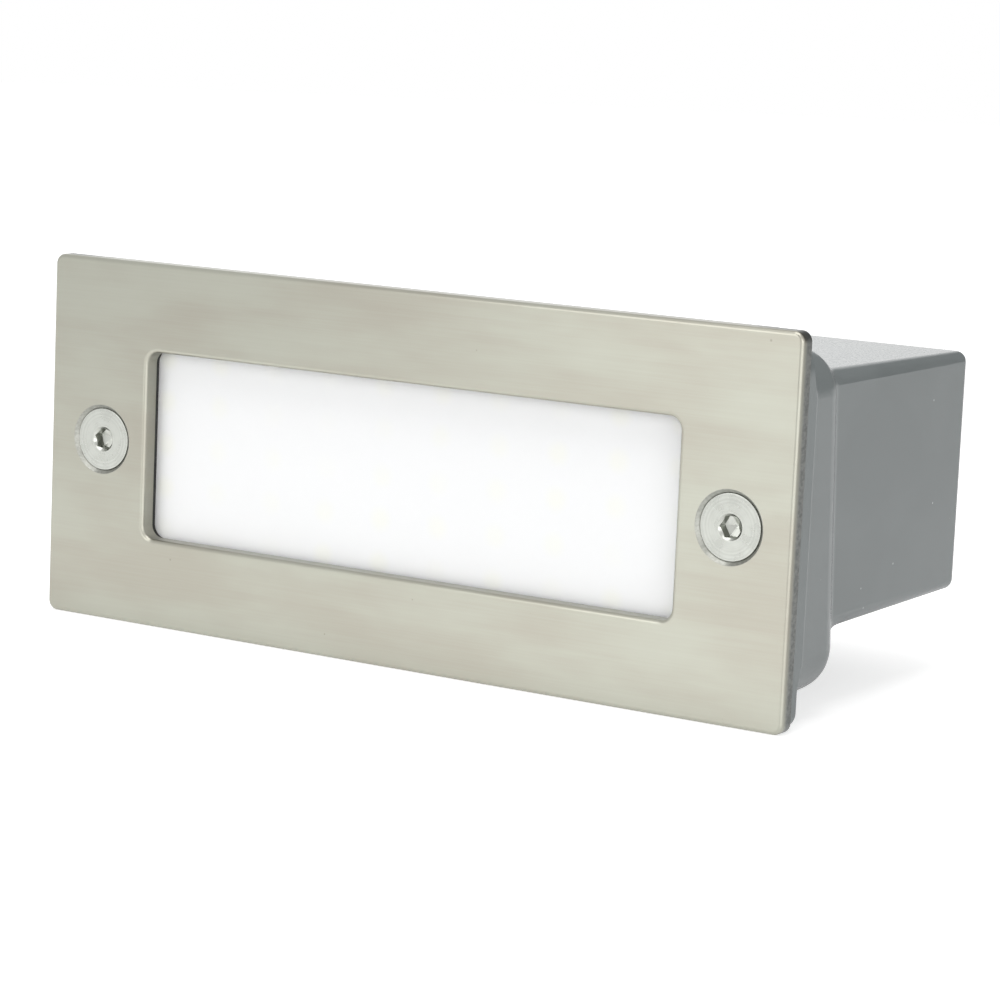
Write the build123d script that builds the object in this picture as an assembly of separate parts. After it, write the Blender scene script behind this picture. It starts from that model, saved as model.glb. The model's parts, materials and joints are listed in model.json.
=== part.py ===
from build123d import *
import math
import os

# Recessed LED step light with a brushed steel front, built into a wall beside a step. Millimetres.
# X runs along the front, +Z is up and +Y goes into the wall. The origin is the middle of the opening
# in the wall's surface, so the flange and the front plate lie at negative Y, the housing behind.

# Front plate
bezel_width = 170.0
bezel_height = 73.0
bezel_thickness = 3.2
bezel_corner = 2.0
bezel_edge_round = 0.8
window_side_margin = 24.0
window_top_margin = 17.7
window_corner = 2.5

# Front screws: countersunk M6 with a hexagon socket
screw_edge_distance = 13.0
screw_head_radius = 6.25
screw_head_land = 0.2
screw_head_inset = 0.5
screw_shank_radius = 3.0
screw_length = 20.0
screw_tip_chamfer = 0.8
socket_across_flats = 4.0
socket_depth = 2.4
socket_mouth_radius = 2.5
socket_turn_left = 14.0
socket_turn_right = 0.0
countersink_gap = 0.05
thread_gap = 0.05
ring_section_radius = 0.6
ring_bore_gap = 0.1
ring_pass_gap = 0.35

# Gasket in its recess under the front plate, opal diffuser and the foam seal behind it
gasket_thickness = 1.2
gasket_edge_inset = 2.0
gasket_recess_gap = 0.3
gasket_corner = 7.0
gasket_window_inset = 0.3
gasket_pillar_gap = 0.3
diffuser_thickness = 3.0
diffuser_overlap = 4.2
diffuser_corner = 4.0
diffuser_pillar_gap = 1.2
seal_thickness = 1.0
seal_band = 2.0
seal_edge_inset = 0.3

# Housing: flange, drafted shoulder and the narrower body behind it
wall = 2.5
flange_side_inset = 0.6
flange_top_inset = 0.3
flange_front_round = 0.5
flange_thickness = 3.0
flange_top_corner = 8.0
flange_bottom_corner = 3.0
flange_cove = 2.0
shoulder_side_inset = 0.6
shoulder_top_inset = 3.7
shoulder_corner = 9.0
shoulder_draft = 3.0
shoulder_depth = 17.8
shoulder_lean = 4.7
shoulder_rear_round = 8.0
step_cove = 4.5
step_reach = 0.2
body_side_inset = 2.5
body_top_inset = 8.3
body_bottom_inset = 15.5
body_corner = 3.0
body_draft = 0.8
body_depth = 71.8
body_back_round = 2.5
cavity_corner = 0.8

# Pillars that take the front screws, with pressed-in brass inserts
insert_radius = 4.0
insert_length = 12.0
insert_groove_width = 1.2
insert_groove_depth = 0.4
insert_seat_gap = 0.02
pillar_wall = 1.8
pillar_recess_depth = 2.6
pillar_recess_margin = 0.3
pillar_web = 2.5
pillar_bore_spare = 3.0

# Small screws: M3 pan heads
small_screw_radius = 1.5
small_head_radius = 2.75
small_head_height = 2.0
small_slot_width = 0.8
small_slot_depth = 0.9
pilot_gap = 0.03
free_hole_gap = 0.2

# Light tray that holds the board, on four posts
tray_margin = 1.3
tray_corner = 6.0
tray_slope = 18.0
tray_depth = 13.0
tray_wall = 1.5
rim_thickness = 1.5
rim_top_inset = 10.5
rim_side_inset = 11.0
rim_corner = 3.0
rim_pillar_gap = 0.6
post_radius = 3.5
post_side_inset = 15.5
post_top_inset = 15.5
post_bottom_inset = 22.5
tray_screw_length = 10.0

# Light-emitting board
board_gap = 1.2
board_corner = 2.0
board_thickness = 1.6
board_screw_end = 4.0
board_screw_edge = 3.6
board_screw_length = 6.0
board_boss_radius = 3.0
board_boss_length = 4.0
chip_columns = 8
chip_rows = 3
chip_length = 3.5
chip_width = 2.8
chip_height = 0.7
chip_end_margin = 11.0
chip_edge_margin = 6.0
plug_width = 6.0
plug_height = 9.0
plug_depth = 5.0
plug_end = 5.0
plug_gap = 1.0

# Driver in its own case on the housing's rear wall, between the terminal block and the right pillar
driver_height = 28.0
driver_depth = 20.0
driver_terminal_gap = 5.0
driver_pillar_gap = 1.2
driver_wall = 1.6
driver_corner = 2.0
driver_lid_thickness = 1.6
driver_lid_lip = 1.5
driver_lip_gap = 0.1
driver_ear_length = 7.0
driver_ear_height = 12.0
driver_ear_thickness = 2.5
driver_foot_height = 6.0
driver_foot_radius = 3.0
driver_screw_length = 8.0
driver_board_gap = 1.0
driver_board_thickness = 1.6
driver_board_foot = 3.0
driver_board_foot_size = 4.0
driver_plug_width = 6.0
driver_plug_height = 14.0
driver_plug_depth = 9.0
driver_plug_end = 2.0
transformer_width = 13.0
transformer_height = 14.0
transformer_depth = 11.0
bobbin_margin = 2.0
bobbin_band = 5.0
capacitor_radius = 4.0
capacitor_length = 10.5
capacitor_spacing = 9.5

# Terminal block for the supply, two poles
terminal_width = 20.0
terminal_height = 20.0
terminal_depth = 15.0
terminal_gland_gap = 7.0
terminal_pad_inset = 1.0
terminal_pad_height = 5.0
terminal_pole_spacing = 10.0
terminal_screw_spacing = 11.0
terminal_screw_radius = 1.8
terminal_screw_length = 5.0
terminal_screw_recess = 1.5
cage_radius = 2.5
cage_bore_radius = 1.6
cage_end_inset = 1.0
cage_gap = 0.05
terminal_fixing_length = 12.0

# Insulated leads
lead_radius = 0.9
lead_hole_gap = 0.3
led_lead_spacing = 5.0
led_lead_run = 12.0
bend_share = 0.45

# Cable gland in the rear wall, beside the left pillar; the gaps run from the flats of its nuts
gland_pillar_gap = 3.2
gland_thread_radius = 8.0
gland_bore_radius = 5.2
gland_hole_gap = 0.25
gland_flats = 22.0
gland_hex_thickness = 5.0
gland_washer_thickness = 1.5
gland_washer_inset = 0.4
locknut_thickness = 5.0
gland_stub_spare = 2.0
gland_spigot = 7.7
gland_seal_radius = 6.5
gland_seal_bore = 4.25
gland_seal_length = 7.0
gland_seal_gap = 0.05
claw_length = 4.0
claw_tip_radius = 6.4
claw_bore_radius = 5.0
claw_slits = 8
claw_slit_width = 0.8
claw_gap = 0.1
nut_skirt_gap = 1.2
nut_hex_length = 8.5
nut_dome_length = 6.0
nut_mouth_radius = 5.2
nut_round = 1.5

# Places that follow from the sizes above
bezel_half_width = bezel_width / 2
bezel_half_height = bezel_height / 2
flange_front = -flange_thickness
gasket_back = flange_front + gasket_thickness
bezel_front = flange_front - bezel_thickness
window_width = bezel_width - 2 * window_side_margin
window_height = bezel_height - 2 * window_top_margin
screw_x = bezel_half_width - screw_edge_distance
screw_top = bezel_front + screw_head_inset
cone_top = screw_top + screw_head_land
cone_bottom = cone_top + screw_head_radius - screw_shank_radius
sink_mouth_radius = screw_head_radius + cone_top - bezel_front + countersink_gap
screw_hole_radius = screw_shank_radius + ring_bore_gap + 2 * ring_section_radius + ring_pass_gap
sink_depth = sink_mouth_radius - screw_hole_radius
pillar_radius = insert_radius + pillar_wall
insert_top = flange_front + pillar_recess_depth
pillar_recess_radius = screw_hole_radius + pillar_recess_margin
diffuser_width = 2 * (screw_x - pillar_radius - diffuser_pillar_gap)
diffuser_height = window_height + 2 * diffuser_overlap
diffuser_back = gasket_back + diffuser_thickness
rim_front = diffuser_back + seal_thickness
rim_back = rim_front + rim_thickness
floor_front = rim_front + tray_depth
floor_back = floor_front + tray_wall
tray_shrink = tray_depth * math.tan(math.radians(tray_slope))
tray_mouth_width = window_width + 2 * tray_margin
tray_mouth_height = window_height + 2 * tray_margin
board_width = tray_mouth_width - 2 * tray_shrink - 2 * board_gap
board_height = tray_mouth_height - 2 * tray_shrink - 2 * board_gap
board_front = floor_front - board_thickness
body_top = bezel_half_height - body_top_inset
body_bottom = body_bottom_inset - bezel_half_height
body_middle = (body_top + body_bottom) / 2
shoulder_width = bezel_width - 2 * shoulder_side_inset
shoulder_height = bezel_height - 2 * shoulder_top_inset
body_width = bezel_width - 2 * body_side_inset
rear_inside = body_depth - wall
post_x = bezel_half_width - post_side_inset
post_places = [
    (side * post_x, height)
    for side in (-1, 1)
    for height in (bezel_half_height - post_top_inset, post_bottom_inset - bezel_half_height)
]
board_screw_places = [
    (across * (board_width / 2 - board_screw_end), up * (board_height / 2 - board_screw_edge))
    for across in (-1, 1)
    for up in (-1, 1)
]
plug_x = board_width / 2 - plug_end
pillar_room = screw_x - pillar_radius
gland_offset = gland_pillar_gap + gland_flats / 2 - pillar_room
terminal_offset = gland_offset + gland_flats / 2 + terminal_gland_gap + terminal_width / 2
driver_start = terminal_offset + terminal_width / 2 + driver_terminal_gap
driver_end = pillar_room - driver_pillar_gap
driver_offset = (driver_start + driver_end) / 2
driver_width = driver_end - driver_start - 2 * driver_ear_length
driver_front = rear_inside - driver_depth
driver_ear_front = rear_inside - driver_foot_height - driver_ear_thickness
driver_screw_places = [
    driver_offset + side * (driver_width + driver_ear_length) / 2 for side in (-1, 1)
]
driver_board_back = rear_inside - driver_wall - driver_board_foot
driver_board_front = driver_board_back - driver_board_thickness
driver_board_width = driver_width - 2 * (driver_wall + driver_board_gap)
driver_board_height = driver_height - 2 * (driver_wall + driver_board_gap)
driver_plug_x = driver_board_width / 2 - driver_plug_end - driver_plug_width / 2
driver_plug_front = driver_board_front - driver_plug_depth
driver_part_room = driver_board_width - 2 * (driver_plug_end + driver_plug_width)
driver_part_gap = (driver_part_room - transformer_width - 2 * capacitor_radius) / 3
transformer_x = driver_offset - driver_part_room / 2 + driver_part_gap + transformer_width / 2
capacitor_x = driver_offset + driver_part_room / 2 - driver_part_gap - capacitor_radius
terminal_back = rear_inside - terminal_pad_height
terminal_front = terminal_back - terminal_depth
cage_y = (terminal_front + terminal_back) / 2
gland_washer_back = body_depth + gland_washer_thickness
gland_hex_back = gland_washer_back + gland_hex_thickness
gland_mouth = gland_hex_back + gland_spigot
gland_seal_front = gland_mouth - gland_seal_length
claw_front = gland_mouth + claw_gap
nut_front = gland_hex_back + nut_skirt_gap
nut_hex_back = nut_front + nut_hex_length
nut_back = nut_hex_back + nut_dome_length


def depth_plane(depth):
    """Plane across the light at a depth; its sketches run along X and downwards."""
    return Plane(origin=(0, depth, 0), x_dir=(1, 0, 0), z_dir=(0, 1, 0))


def prism(outline, start, end, draft=0.0):
    """An outline carried from one depth to another, drawing in by the draft."""
    return extrude(depth_plane(start) * outline, amount=end - start, taper=draft)


def rounded(width, height, corner, x=0.0, z=0.0):
    """Rounded rectangle centred at X and Z."""
    return Pos(x, -z) * RectangleRounded(width, height, corner)


def plain(width, height, x=0.0, z=0.0):
    """Square-cornered rectangle centred at X and Z."""
    return Pos(x, -z) * Rectangle(width, height)


def disc(radius, x=0.0, z=0.0):
    """Circle centred at X and Z."""
    return Pos(x, -z) * Circle(radius)


def hexagon(across_flats, x=0.0, z=0.0, turn=0.0):
    """Hexagon with two corners on a level line before it is turned."""
    return Pos(x, -z) * Rot(0, 0, turn) * RegularPolygon(across_flats / 2, 6, major_radius=False)


def cone(start_radius, end_radius, start, end, x=0.0, z=0.0):
    """Cone frustum whose axis runs into the wall."""
    shape = Cone(start_radius, end_radius, end - start, align=(Align.CENTER, Align.CENTER, Align.MIN))
    return depth_plane(start) * Pos(x, -z) * shape


def joined(shapes):
    """One part fused from a list of shapes."""
    total = shapes[0]
    for shape in shapes[1:]:
        total = total + shape
    return total


def small_screw(x, z, seat, length):
    """M3 pan-head screw, its head in front of the seat and its shank behind, with one driver slot."""
    top = seat - small_head_height
    head = prism(disc(small_head_radius, x, z), top, seat)
    head = fillet(head.edges().sort_by(Axis.Y)[0], small_head_height / 2)
    shank = prism(disc(small_screw_radius, x, z), seat, seat + length)
    slot = prism(plain(2 * small_head_radius, small_slot_width, x, z), top, top + small_slot_depth)
    return head + shank - slot


def bezel():
    """Front plate: soft front edges, a rounded window and two countersunk holes."""
    plate = prism(rounded(bezel_width, bezel_height, bezel_corner), bezel_front, flange_front)
    plate = plate - prism(rounded(window_width, window_height, window_corner), bezel_front, flange_front)
    front = plate.faces().sort_by(Axis.Y)[0]
    plate = fillet(front.edges(), bezel_edge_round)
    for side in (-1, 1):
        x = side * screw_x
        plate = plate - prism(disc(screw_hole_radius, x), bezel_front, flange_front)
        plate = plate - cone(sink_mouth_radius, screw_hole_radius, bezel_front, bezel_front + sink_depth, x)
    return plate


def gasket_outline(grow):
    """Outer outline of the gasket, made larger by a clearance."""
    width = bezel_width - 2 * gasket_edge_inset + 2 * grow
    height = bezel_height - 2 * gasket_edge_inset + 2 * grow
    return rounded(width, height, gasket_corner + grow)


def bezel_gasket():
    """Flat gasket in the flange's recess, under the plate and bonded to the diffuser's rim."""
    sheet = prism(gasket_outline(0), flange_front, gasket_back)
    window = rounded(
        window_width + 2 * gasket_window_inset,
        window_height + 2 * gasket_window_inset,
        window_corner + gasket_window_inset,
    )
    sheet = sheet - prism(window, flange_front, gasket_back)
    for side in (-1, 1):
        hole = disc(pillar_radius + gasket_pillar_gap, side * screw_x)
        sheet = sheet - prism(hole, flange_front, gasket_back)
    return sheet


def diffuser():
    """Opal sheet behind the window."""
    outline = rounded(diffuser_width, diffuser_height, diffuser_corner)
    return prism(outline, gasket_back, diffuser_back)


def diffuser_seal():
    """Foam frame between the diffuser's back and the light tray's rim."""
    width = diffuser_width - 2 * seal_edge_inset
    height = diffuser_height - 2 * seal_edge_inset
    frame = prism(rounded(width, height, diffuser_corner), diffuser_back, rim_front)
    inside = rounded(width - 2 * seal_band, height - 2 * seal_band, diffuser_corner - seal_band / 2)
    return frame - prism(inside, diffuser_back, rim_front)


def bezel_screw(side, turn):
    """Countersunk M6 screw with a hexagon socket and a chamfered socket mouth."""
    x = side * screw_x
    tip = screw_top + screw_length
    shape = prism(disc(screw_head_radius, x), screw_top, cone_top)
    shape = shape + cone(screw_head_radius, screw_shank_radius, cone_top, cone_bottom, x)
    shape = shape + prism(disc(screw_shank_radius, x), cone_bottom, tip)
    shape = chamfer(shape.edges().sort_by(Axis.Y)[-1], screw_tip_chamfer)
    shape = shape - prism(hexagon(socket_across_flats, x, 0, turn), screw_top, screw_top + socket_depth)
    flat_radius = socket_across_flats / 2
    mouth_depth = socket_mouth_radius - flat_radius
    shape = shape - cone(socket_mouth_radius, flat_radius, screw_top, screw_top + mouth_depth, x)
    return shape - cone(
        flat_radius, 0, screw_top + socket_depth, screw_top + socket_depth + flat_radius / 2, x
    )


def screw_ring(side):
    """Sealing ring round a front screw, under its head."""
    major = screw_shank_radius + ring_bore_gap + ring_section_radius
    place = insert_top - ring_section_radius - ring_bore_gap
    return depth_plane(place) * Pos(side * screw_x, 0) * Torus(major, ring_section_radius)


def insert(side):
    """Threaded brass insert with two retaining grooves."""
    x = side * screw_x
    bottom = insert_top + insert_length
    body = prism(disc(insert_radius, x), insert_top, bottom)
    for share in (1, 2):
        middle = insert_top + share * insert_length / 3
        start = middle - insert_groove_width / 2
        band = disc(insert_radius, x) - disc(insert_radius - insert_groove_depth, x)
        body = body - prism(band, start, start + insert_groove_width)
    return body - prism(disc(screw_shank_radius + thread_gap, x), insert_top, bottom)


def lean_plane(inwards):
    """Rear plane of the shoulder, deeper at the bottom than at the top, moved towards the front."""
    lean = math.radians(shoulder_lean)
    normal = (0, math.cos(lean), math.sin(lean))
    return Plane(origin=(0, shoulder_depth, 0), x_dir=(1, 0, 0), z_dir=normal).offset(-inwards)


def drafted_shoulder(start, inset):
    """The shoulder's drafted block, made smaller by an inset, with a leaning rear and soft rear edges."""
    outline = rounded(
        shoulder_width - 2 * inset, shoulder_height - 2 * inset, shoulder_corner - inset
    )
    block = prism(outline, start, body_depth / 2, shoulder_draft)
    block = split(block, bisect_by=lean_plane(inset), keep=Keep.BOTTOM)
    rear = block.faces().sort_by(Axis.Y)[-1]
    return fillet(rear.edges(), shoulder_rear_round - inset)


def drafted_body(start, end, inset, corner):
    """The body's drafted block, made smaller by an inset."""
    outline = rounded(
        body_width - 2 * inset, body_top - body_bottom - 2 * inset, corner, 0, body_middle
    )
    return prism(outline, start, end, body_draft)


def step_edges(core):
    """The two long edges where the body leaves the shoulder's rear: above it and below it."""
    slope = math.tan(math.radians(body_draft))
    found = []
    for edge in core.edges():
        middle = edge.center()
        draw = slope * middle.Y
        on_top = abs(middle.Z - body_top + draw) < step_reach
        on_bottom = abs(middle.Z - body_bottom - draw) < step_reach
        near_step = middle.Y < body_depth / 2
        if edge.length > body_width / 2 and near_step and (on_top or on_bottom):
            found.append(edge)
    return found


def flange_outline():
    """Outline of the flange, softer at the top corners than at the bottom ones."""
    width = bezel_width - 2 * flange_side_inset
    height = bezel_height - 2 * flange_top_inset
    outline = Rectangle(width, height)
    outline = fillet(outline.vertices().sort_by(Axis.Y)[:2], flange_top_corner)
    return fillet(outline.vertices().sort_by(Axis.Y)[-2:], flange_bottom_corner)


def outer_form():
    """Solid outer form of the moulding: flange, shoulder with a leaning rear, coves and body."""
    body = drafted_body(0, body_depth, 0, body_corner)
    body = fillet(body.faces().sort_by(Axis.Y)[-1].edges(), body_back_round)
    core = drafted_shoulder(0, 0) + body
    core = fillet(step_edges(core), step_cove)
    # The cove behind the flange is rolled on an oversize flange, then trimmed to its outline.
    wide = prism(plain(2 * bezel_width, 2 * bezel_height), flange_front, 0) + core
    ledge = wide.faces().filter_by(Axis.Y).sort_by(lambda face: abs(face.center().Y))[0]
    foot = [
        edge
        for edge in ledge.edges()
        if abs(edge.center().X) < bezel_half_width and abs(edge.center().Z) < bezel_half_height
    ]
    wide = fillet(foot, flange_cove)
    limit = prism(flange_outline(), flange_front, body_depth)
    limit = fillet(limit.faces().sort_by(Axis.Y)[0].edges(), flange_front_round)
    return wide & limit


def inner_form():
    """Hollow of the moulding, open at the front: the shoulder's and the body's."""
    return drafted_shoulder(flange_front, wall) + drafted_body(flange_front, rear_inside, wall, cavity_corner)


def pillar(side):
    """Screw pillar tied to the end wall by a web."""
    x = side * screw_x
    post = prism(disc(pillar_radius, x), flange_front, body_depth - wall / 2)
    reach = bezel_half_width - body_side_inset - wall / 2 - screw_x
    middle = side * (screw_x + reach / 2)
    web = prism(plain(reach, pillar_web, middle), diffuser_back, body_depth - wall / 2)
    return post + web


def housing():
    """Moulded housing with the gasket's recess, pillars, posts, feet and the gland's hole."""
    outer = outer_form()
    bosses = [pillar(side) for side in (-1, 1)]
    for x, z in post_places:
        bosses.append(prism(disc(post_radius, x, z), rim_back, body_depth - wall / 2))
    for x in driver_screw_places:
        foot = disc(driver_foot_radius, x, body_middle)
        bosses.append(prism(foot, rear_inside - driver_foot_height, body_depth - wall / 2))
    pad = rounded(
        terminal_width - 2 * terminal_pad_inset,
        terminal_height - 2 * terminal_pad_inset,
        terminal_pad_inset,
        terminal_offset,
        body_middle,
    )
    bosses.append(prism(pad, terminal_back, body_depth - wall / 2))
    recess = prism(gasket_outline(gasket_recess_gap), flange_front, gasket_back)
    shell = (outer - inner_form() - recess) + (joined(bosses) & outer)
    for side in (-1, 1):
        x = side * screw_x
        insert_bottom = insert_top + insert_length
        tip = screw_top + screw_length + pillar_bore_spare
        shell = shell - prism(disc(pillar_recess_radius, x), flange_front, insert_top)
        shell = shell - prism(disc(insert_radius + insert_seat_gap, x), insert_top, insert_bottom)
        shell = shell - prism(disc(screw_shank_radius + free_hole_gap, x), insert_bottom, tip)
    pilot = small_screw_radius + pilot_gap
    for x, z in post_places:
        shell = shell - prism(disc(pilot, x, z), rim_back, rim_front + tray_screw_length)
    for x in driver_screw_places:
        shell = shell - prism(disc(pilot, x, body_middle), driver_ear_front, rear_inside)
    shell = shell - prism(disc(pilot, terminal_offset, body_middle), terminal_back, rear_inside)
    hole = disc(gland_thread_radius + gland_hole_gap, gland_offset, body_middle)
    return shell - prism(hole, rear_inside, body_depth)


def light_tray():
    """White reflector tray: flat rim notched round the pillars, sloping walls and a floor for the board."""
    mouth = rounded(tray_mouth_width, tray_mouth_height, tray_corner)
    skin = tray_wall / math.cos(math.radians(tray_slope))
    outside = rounded(tray_mouth_width + 2 * skin, tray_mouth_height + 2 * skin, tray_corner + skin)
    cup = prism(outside, rim_front, floor_back, tray_slope)
    rim = rounded(bezel_width - 2 * rim_side_inset, bezel_height - 2 * rim_top_inset, rim_corner)
    tray = cup + prism(rim, rim_front, rim_back)
    for x, z in board_screw_places:
        tray = tray + prism(disc(board_boss_radius, x, z), floor_front, floor_back + board_boss_length)
    tray = tray - prism(mouth, rim_front, floor_front, tray_slope)
    notch_radius = pillar_radius + rim_pillar_gap
    for side in (-1, 1):
        notch = disc(notch_radius, side * screw_x)
        open_side = plain(2 * screw_edge_distance, 2 * notch_radius, side * bezel_half_width)
        tray = tray - prism(notch + open_side, rim_front, rim_back)
    for x, z in post_places:
        tray = tray - prism(disc(small_screw_radius + free_hole_gap, x, z), rim_front, rim_back)
    for x, z in board_screw_places:
        tray = tray - prism(
            disc(small_screw_radius + pilot_gap, x, z), floor_front, floor_back + board_boss_length
        )
    opening = plain(plug_width + 2 * plug_gap, plug_height + 2 * plug_gap, plug_x)
    return tray - prism(opening, floor_front, floor_back)


def tray_screws():
    """Four screws through the tray's rim into the posts."""
    return Compound([small_screw(x, z, rim_front, tray_screw_length) for x, z in post_places])


def led_board():
    """Metal-cored board on the tray's floor."""
    board = prism(rounded(board_width, board_height, board_corner), board_front, floor_front)
    for x, z in board_screw_places:
        hole = disc(small_screw_radius + free_hole_gap, x, z)
        board = board - prism(hole, board_front, floor_front)
    return board


def led_chips():
    """Light-emitting chips in even rows and columns on the board."""
    step_x = (board_width - 2 * chip_end_margin) / (chip_columns - 1)
    step_z = (board_height - 2 * chip_edge_margin) / (chip_rows - 1)
    chips = []
    for column in range(chip_columns):
        for row in range(chip_rows):
            x = chip_end_margin - board_width / 2 + column * step_x
            z = chip_edge_margin - board_height / 2 + row * step_z
            chips.append(prism(plain(chip_length, chip_width, x, z), board_front - chip_height, board_front))
    return Compound(chips)


def led_board_screws():
    """Four screws through the board into the tray's bosses."""
    return Compound([small_screw(x, z, board_front, board_screw_length) for x, z in board_screw_places])


def led_plug():
    """Two-pole plug on the board's back, in the tray's opening."""
    return prism(plain(plug_width, plug_height, plug_x), floor_front, floor_front + plug_depth)


def driver_case():
    """Case of the driver with two fixing ears, feet for its board and holes for its leads."""
    outline = rounded(driver_width, driver_height, driver_corner, driver_offset, body_middle)
    inside = rounded(
        driver_width - 2 * driver_wall,
        driver_height - 2 * driver_wall,
        driver_corner - driver_wall / 2,
        driver_offset,
        body_middle,
    )
    hollow = prism(inside, driver_front, rear_inside - driver_wall)
    ears = rounded(
        driver_width + 2 * driver_ear_length,
        driver_ear_height,
        driver_corner,
        driver_offset,
        body_middle,
    )
    case = prism(outline, driver_front, rear_inside)
    case = case + prism(ears, driver_ear_front, driver_ear_front + driver_ear_thickness)
    case = case - hollow
    foot_x = (driver_board_width - driver_board_foot_size) / 2
    foot_z = (driver_board_height - driver_board_foot_size) / 2
    for across in (-1, 1):
        for up in (-1, 1):
            foot = plain(
                driver_board_foot_size,
                driver_board_foot_size,
                driver_offset + across * foot_x,
                body_middle + up * foot_z,
            )
            case = case + prism(foot, driver_board_back, rear_inside - driver_wall / 2)
    for x in driver_screw_places:
        hole = disc(small_screw_radius + free_hole_gap, x, body_middle)
        case = case - prism(hole, driver_ear_front, driver_ear_front + driver_ear_thickness)
    for up in (-1, 1):
        height = body_middle + up * terminal_pole_spacing / 2
        start = driver_offset - driver_width / 2 - driver_wall
        case = case - side_rod(lead_radius + lead_hole_gap, start, start + 3 * driver_wall, height)
    return case


def side_rod(radius, start, end, z):
    """Round bar along X at the terminal cages' depth."""
    plane = Plane(origin=(start, cage_y, z), x_dir=(0, 1, 0), z_dir=(1, 0, 0))
    return extrude(plane * Circle(radius), amount=end - start)


def driver_lid():
    """Lid of the driver's case, with a lip inside the wall and two holes for the board's leads."""
    outline = rounded(driver_width, driver_height, driver_corner, driver_offset, body_middle)
    shrink = 2 * (driver_wall + driver_lip_gap)
    lip = rounded(
        driver_width - shrink,
        driver_height - shrink,
        driver_corner - driver_wall / 2,
        driver_offset,
        body_middle,
    )
    core = rounded(
        driver_width - 2 * shrink,
        driver_height - 2 * shrink,
        driver_corner - driver_wall / 2,
        driver_offset,
        body_middle,
    )
    lid = prism(outline, driver_front - driver_lid_thickness, driver_front)
    lid = lid + prism(lip - core, driver_front, driver_front + driver_lid_lip)
    for up in (-1, 1):
        hole = disc(
            lead_radius + lead_hole_gap,
            driver_offset + driver_plug_x,
            body_middle + up * led_lead_spacing / 2,
        )
        lid = lid - prism(hole, driver_front - driver_lid_thickness, driver_front)
    return lid


def driver_board():
    """Driver's circuit board on the case's feet."""
    outline = plain(driver_board_width, driver_board_height, driver_offset, body_middle)
    return prism(outline, driver_board_front, driver_board_back)


def driver_plugs():
    """Supply-side and light-side terminals at the two ends of the driver's board."""
    plugs = []
    for side in (-1, 1):
        outline = plain(
            driver_plug_width, driver_plug_height, driver_offset + side * driver_plug_x, body_middle
        )
        plugs.append(prism(outline, driver_plug_front, driver_board_front))
    return Compound(plugs)


def driver_transformer():
    """Ferrite block with its winding standing proud on four sides."""
    top = driver_board_front - transformer_depth
    core = plain(transformer_width, transformer_height, transformer_x, body_middle)
    block = prism(core, top, driver_board_front)
    winding = plain(
        transformer_width - 2 * bobbin_margin,
        transformer_height + 2 * bobbin_margin,
        transformer_x,
        body_middle,
    )
    start = (top + driver_board_front - bobbin_band) / 2
    return block + prism(winding, start, start + bobbin_band)


def driver_capacitors():
    """Two round capacitors beside the transformer."""
    cans = []
    for up in (-1, 1):
        outline = disc(capacitor_radius, capacitor_x, body_middle + up * capacitor_spacing / 2)
        cans.append(prism(outline, driver_board_front - capacitor_length, driver_board_front))
    return Compound(cans)


def driver_screws():
    """Two screws through the driver's ears into the feet."""
    return Compound(
        [small_screw(x, body_middle, driver_ear_front, driver_screw_length) for x in driver_screw_places]
    )


def terminal_block():
    """Insulating block with a tunnel for each pole, wells for the clamp screws and a fixing hole."""
    outline = rounded(
        terminal_width, terminal_height, terminal_pad_inset, terminal_offset, body_middle
    )
    block = prism(outline, terminal_front, terminal_back)
    for up in (-1, 1):
        height = body_middle + up * terminal_pole_spacing / 2
        start = terminal_offset - terminal_width / 2
        block = block - side_rod(cage_radius + cage_gap, start, start + terminal_width, height)
        for across in (-1, 1):
            x = terminal_offset + across * terminal_screw_spacing / 2
            well = disc(terminal_screw_radius + free_hole_gap, x, height)
            block = block - prism(well, terminal_front, cage_y)
    head_well = disc(small_head_radius + free_hole_gap, terminal_offset, body_middle)
    block = block - prism(head_well, terminal_front, terminal_front + small_head_height)
    hole = disc(small_screw_radius + free_hole_gap, terminal_offset, body_middle)
    return block - prism(hole, terminal_front, terminal_back)


def terminal_cages():
    """Brass tubes that clamp the supply's and the driver's wires end to end."""
    cages = []
    start = terminal_offset - terminal_width / 2 + cage_end_inset
    end = terminal_offset + terminal_width / 2 - cage_end_inset
    for up in (-1, 1):
        height = body_middle + up * terminal_pole_spacing / 2
        tube = side_rod(cage_radius, start, end, height) - side_rod(cage_bore_radius, start, end, height)
        for across in (-1, 1):
            x = terminal_offset + across * terminal_screw_spacing / 2
            hole = disc(terminal_screw_radius + cage_gap, x, height)
            tube = tube - prism(hole, terminal_front, cage_y)
        cages.append(tube)
    return Compound(cages)


def terminal_screws():
    """Four slotted clamp screws in the block's wells."""
    top = terminal_front + terminal_screw_recess
    screws = []
    for up in (-1, 1):
        height = body_middle + up * terminal_pole_spacing / 2
        for across in (-1, 1):
            x = terminal_offset + across * terminal_screw_spacing / 2
            bar = prism(disc(terminal_screw_radius, x, height), top, top + terminal_screw_length)
            slot = plain(2 * terminal_screw_radius, small_slot_width, x, height)
            screws.append(bar - prism(slot, top, top + small_slot_depth))
    return Compound(screws)


def terminal_fixing_screw():
    """Screw that holds the terminal block on its pad."""
    seat = terminal_front + small_head_height
    length = min(terminal_fixing_length, terminal_depth + terminal_pad_height - small_head_height)
    return small_screw(terminal_offset, body_middle, seat, length)


def supply_lead(up):
    """Short insulated lead from a terminal cage to the driver."""
    height = body_middle + up * terminal_pole_spacing / 2
    start = terminal_offset + terminal_width / 2 - cage_end_inset
    end = driver_offset - driver_plug_x - driver_plug_width / 2
    return side_rod(lead_radius, start, end, height)


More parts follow.
